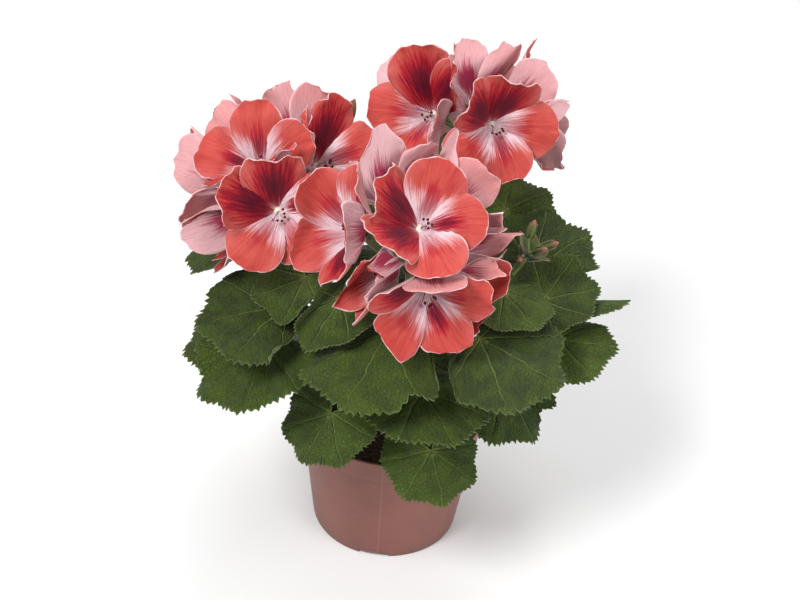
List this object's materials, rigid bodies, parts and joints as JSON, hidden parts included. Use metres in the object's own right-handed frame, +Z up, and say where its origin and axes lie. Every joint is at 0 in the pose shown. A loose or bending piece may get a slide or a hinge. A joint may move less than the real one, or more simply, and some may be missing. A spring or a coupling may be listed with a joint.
{
  "type": "potted pelargonium",
  "caption": "Regal pelargonium in a round plastic nursery pot: lobed leaves on branching stems under rounded heads of large blotched coral blooms.",
  "frame": {"origin": "centre of the flat pad under the pot, on the surface the pot stands on", "axes": "+Z up along the pot's axis, -Y towards the side with the most open blooms, +X to the right of a viewer on that side"},
  "size_m": [0.2864, 0.2718, 0.3146],
  "materials": {
    "pot": "matte terracotta pink, injection moulded",
    "peat": "dark moist crumbs",
    "foliage": "matte green leaf tissue",
    "petals": "soft coral petal tissue with pale edges and dark blotches"
  },
  "bodies": {
    "root": {"pot": "pot", "peat": "peat", "front_leafy_stem": "foliage", "left_leafy_stem": "foliage", "right_leafy_stem": "foliage", "side_leafy_stem": "foliage", "rear_leafy_stem": "foliage", "corner_leafy_stem": "foliage", "left_bloom_1": "petals", "left_bloom_2": "petals", "left_bloom_3": "petals", "left_bloom_4": "petals", "left_bloom_5": "petals", "left_bloom_6": "petals", "left_bloom_7": "petals", "front_bloom_1": "petals", "front_bloom_2": "petals", "front_bloom_3": "petals", "front_bloom_4": "petals", "front_bloom_5": "petals", "front_bloom_6": "petals", "front_bloom_7": "petals", "front_bloom_8": "petals", "right_bloom_1": "petals", "right_bloom_2": "petals", "right_bloom_3": "petals", "right_bloom_4": "petals", "right_bloom_5": "petals", "right_bloom_6": "petals", "right_bloom_7": "petals"}
  },
  "joints": []
}
